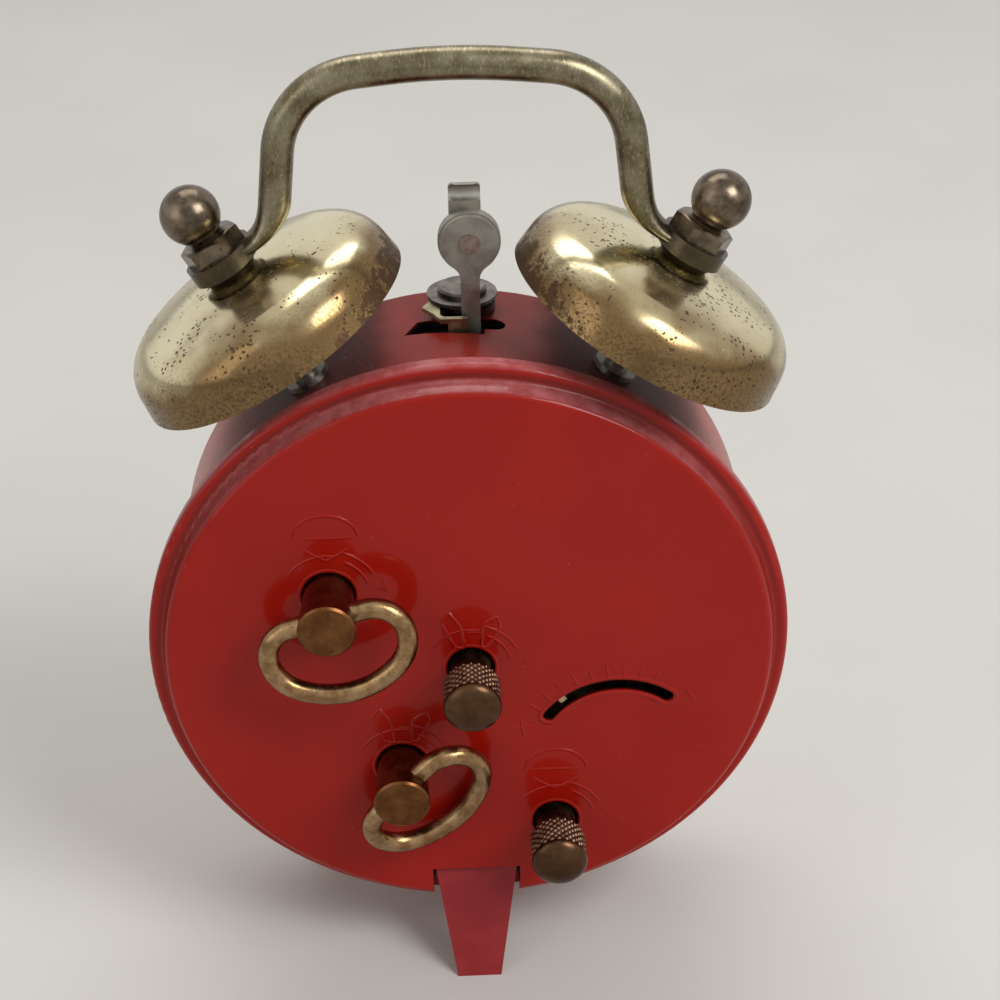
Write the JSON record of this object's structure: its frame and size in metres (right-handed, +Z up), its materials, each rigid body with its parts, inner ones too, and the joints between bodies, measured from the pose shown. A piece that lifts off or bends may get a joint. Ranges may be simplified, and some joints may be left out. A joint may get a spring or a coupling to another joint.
{
  "type": "twin bell alarm clock",
  "caption": "Small wind-up alarm clock with a round red case, twin bells under a bow handle, a swinging hammer, winding keys and setting knobs behind.",
  "frame": {"origin": "centre of the overall bounding box, on the plane that the feet stand on", "axes": "+Y out of the rear cover, which the picture shows, +Z up, +X to the left of a viewer who faces the rear"},
  "size_m": [0.064, 0.034, 0.0969],
  "materials": {
    "case_red": "glossy red lacquer",
    "bezel_brass": "polished",
    "bell_brass": "polished, spotted with tarnish near the rim",
    "bow_brass": "tarnished",
    "dark_bronze": "dark, worn plating",
    "key_brass": "dull",
    "loop_brass": "polished wire",
    "knob_nickel": "worn nickel plating",
    "zinc": "dull zinc plating",
    "bright_steel": "turned",
    "dark_steel": "blued",
    "plate_brass": "stamped",
    "clear_glass": "clear",
    "dial_white": "matt white lacquer",
    "hand_black": "black lacquer",
    "hand_brass": "polished"
  },
  "bodies": {
    "case": {"case_drum": "case_red", "rear_cover": "case_red", "bezel": "bezel_brass", "glass": "clear_glass", "glass_ring": "dial_white", "dial": "dial_white", "bell_left": "bell_brass", "bell_right": "bell_brass", "finial_left": "dark_bronze", "finial_right": "dark_bronze", "bell_posts": "bright_steel", "post_nuts": "bright_steel", "bell_spacers": "bow_brass", "handle": "bow_brass", "stop_boss": "dark_steel", "stop_washer": "zinc", "stop_rivet": "zinc", "front_feet": "bow_brass", "rear_foot": "case_red", "back_plate": "plate_brass", "front_plate": "plate_brass", "pillars": "bright_steel", "pillar_nuts": "plate_brass", "regulator_boss": "plate_brass", "hairspring": "dark_steel", "time_mainspring": "dark_steel", "alarm_mainspring": "dark_steel"},
    "hammer": {"hammer_stem": "zinc", "hammer_weight": "zinc", "hammer_tab": "zinc", "hammer_rivet": "zinc", "hammer_arbor": "bright_steel"},
    "stop_lever": {"stop_lever": "plate_brass"},
    "time_key": {"time_key": "key_brass", "time_winding_arbor": "bright_steel"},
    "time_key_loop": {"time_key_loop": "loop_brass"},
    "alarm_key": {"alarm_key": "key_brass", "alarm_winding_arbor": "bright_steel"},
    "alarm_key_loop": {"alarm_key_loop": "loop_brass"},
    "time_great_wheel": {"time_great_wheel": "plate_brass"},
    "centre_wheel": {"centre_wheel": "plate_brass"},
    "third_wheel": {"third_wheel": "plate_brass"},
    "fourth_wheel": {"fourth_wheel": "plate_brass"},
    "escape_wheel": {"escape_wheel": "plate_brass"},
    "pallet_lever": {"pallet_lever": "bright_steel"},
    "balance_wheel": {"balance_wheel": "plate_brass"},
    "centre_arbor": {"centre_arbor": "bright_steel", "hand_set_knob": "knob_nickel", "minute_hand": "hand_black"},
    "minute_wheel": {"minute_wheel": "plate_brass"},
    "hour_wheel": {"hour_wheel": "plate_brass", "hour_hand": "hand_black"},
    "alarm_wheel": {"alarm_wheel": "plate_brass", "alarm_hand": "hand_brass"},
    "alarm_set_arbor": {"alarm_set_arbor": "bright_steel", "alarm_set_knob": "knob_nickel"},
    "alarm_great_wheel": {"alarm_great_wheel": "plate_brass"},
    "alarm_escape_wheel": {"alarm_escape_wheel": "plate_brass"},
    "regulator": {"regulator": "dark_steel"}
  },
  "joints": [
    {"name": "hammer_swing", "type": "hinge", "parent": "case", "child": "hammer", "pos_m": [-0.00115, -0.0054, 0.0623], "axis": [0, -1, 0], "range_deg": [-15, 5.7]},
    {"name": "stop_lever_turn", "type": "hinge", "parent": "case", "child": "stop_lever", "pos_m": [-0.00035, -0.00995, 0.0678], "axis": [0, 0, 1], "range_deg": [0, 15]},
    {"name": "regulator_turn", "type": "hinge", "parent": "case", "child": "regulator", "pos_m": [-0.0147, 0.00625, 0.0259], "axis": [0, -1, 0], "range_deg": [-14, 76]},
    {"name": "time_key_turn", "type": "hinge", "parent": "case", "child": "time_key", "pos_m": [0.0073, 0.01325, 0.0254], "axis": [0, 1, 0], "continuous": true},
    {"name": "time_loop_fold", "type": "hinge", "parent": "time_key", "child": "time_key_loop", "pos_m": [0.0073, 0.01325, 0.0254], "axis": [0.6691, 0, -0.7431], "range_deg": [-2.5, 218.5]},
    {"name": "alarm_key_turn", "type": "hinge", "parent": "case", "child": "alarm_key", "pos_m": [0.0136, 0.01325, 0.0463], "axis": [0, 1, 0], "continuous": true},
    {"name": "alarm_loop_fold", "type": "hinge", "parent": "alarm_key", "child": "alarm_key_loop", "pos_m": [0.0136, 0.01325, 0.0463], "axis": [0.9659, 0, -0.2588], "range_deg": [-25.5, 195.5]},
    {"name": "fourth_wheel_turn", "type": "hinge", "parent": "case", "child": "fourth_wheel", "pos_m": [-0.01534, 0.00625, 0.04099], "axis": [0, 1, 0], "continuous": true},
    {"name": "third_wheel_turn", "type": "hinge", "parent": "case", "child": "third_wheel", "pos_m": [-0.00772, 0.00625, 0.04165], "axis": [0, 1, 0], "continuous": true},
    {"name": "centre_wheel_turn", "type": "hinge", "parent": "case", "child": "centre_wheel", "pos_m": [0, 0.00625, 0.0372], "axis": [0, 1, 0], "continuous": true},
    {"name": "time_great_wheel_turn", "type": "hinge", "parent": "case", "child": "time_great_wheel", "pos_m": [0.0073, 0.00625, 0.0254], "axis": [0, 1, 0], "continuous": true},
    {"name": "escape_wheel_turn", "type": "hinge", "parent": "case", "child": "escape_wheel", "pos_m": [-0.0121, 0.00625, 0.03538], "axis": [0, 1, 0], "continuous": true},
    {"name": "pallet_rock", "type": "hinge", "parent": "case", "child": "pallet_lever", "pos_m": [-0.01322, 0.00625, 0.0313], "axis": [0, 1, 0], "range_deg": [-5, 5]},
    {"name": "balance_swing", "type": "hinge", "parent": "case", "child": "balance_wheel", "pos_m": [-0.0147, 0.00625, 0.0259], "axis": [0, 1, 0], "range_deg": [-270, 270], "stiffness_Nm_per_rad": 0.0000015},
    {"name": "hand_set_turn", "type": "hinge", "parent": "case", "child": "centre_arbor", "pos_m": [0, 0.00625, 0.0372], "axis": [0, 1, 0], "continuous": true},
    {"name": "minute_wheel_turn", "type": "hinge", "parent": "case", "child": "minute_wheel", "pos_m": [-0.00649, 0.00625, 0.04095], "axis": [0, 1, 0], "continuous": true},
    {"name": "hour_wheel_turn", "type": "hinge", "parent": "case", "child": "hour_wheel", "pos_m": [0, 0.00625, 0.0372], "axis": [0, 1, 0], "continuous": true},
    {"name": "alarm_wheel_turn", "type": "hinge", "parent": "case", "child": "alarm_wheel", "pos_m": [0, 0.00625, 0.0372], "axis": [0, 1, 0], "continuous": true},
    {"name": "alarm_set_turn", "type": "hinge", "parent": "case", "child": "alarm_set_arbor", "pos_m": [-0.0084, 0.00625, 0.0175], "axis": [0, 1, 0], "continuous": true},
    {"name": "alarm_great_wheel_turn", "type": "hinge", "parent": "case", "child": "alarm_great_wheel", "pos_m": [0.0136, 0.00625, 0.0463], "axis": [0, 1, 0], "continuous": true},
    {"name": "alarm_escape_wheel_turn", "type": "hinge", "parent": "case", "child": "alarm_escape_wheel", "pos_m": [0.0046, 0.00625, 0.0526], "axis": [0, 1, 0], "continuous": true}
  ],
  "couplings": [
    {"joint": "third_wheel_turn", "follows": "fourth_wheel_turn", "ratio": -0.13333},
    {"joint": "centre_wheel_turn", "follows": "fourth_wheel_turn", "ratio": 0.016667},
    {"joint": "time_great_wheel_turn", "follows": "fourth_wheel_turn", "ratio": -0.0027778},
    {"joint": "escape_wheel_turn", "follows": "fourth_wheel_turn", "ratio": -7},
    {"joint": "minute_wheel_turn", "follows": "hand_set_turn", "ratio": -0.33333},
    {"joint": "hour_wheel_turn", "follows": "hand_set_turn", "ratio": 0.083333},
    {"joint": "alarm_set_turn", "follows": "alarm_wheel_turn", "ratio": -2.5},
    {"joint": "alarm_escape_wheel_turn", "follows": "alarm_great_wheel_turn", "ratio": -8}
  ]
}
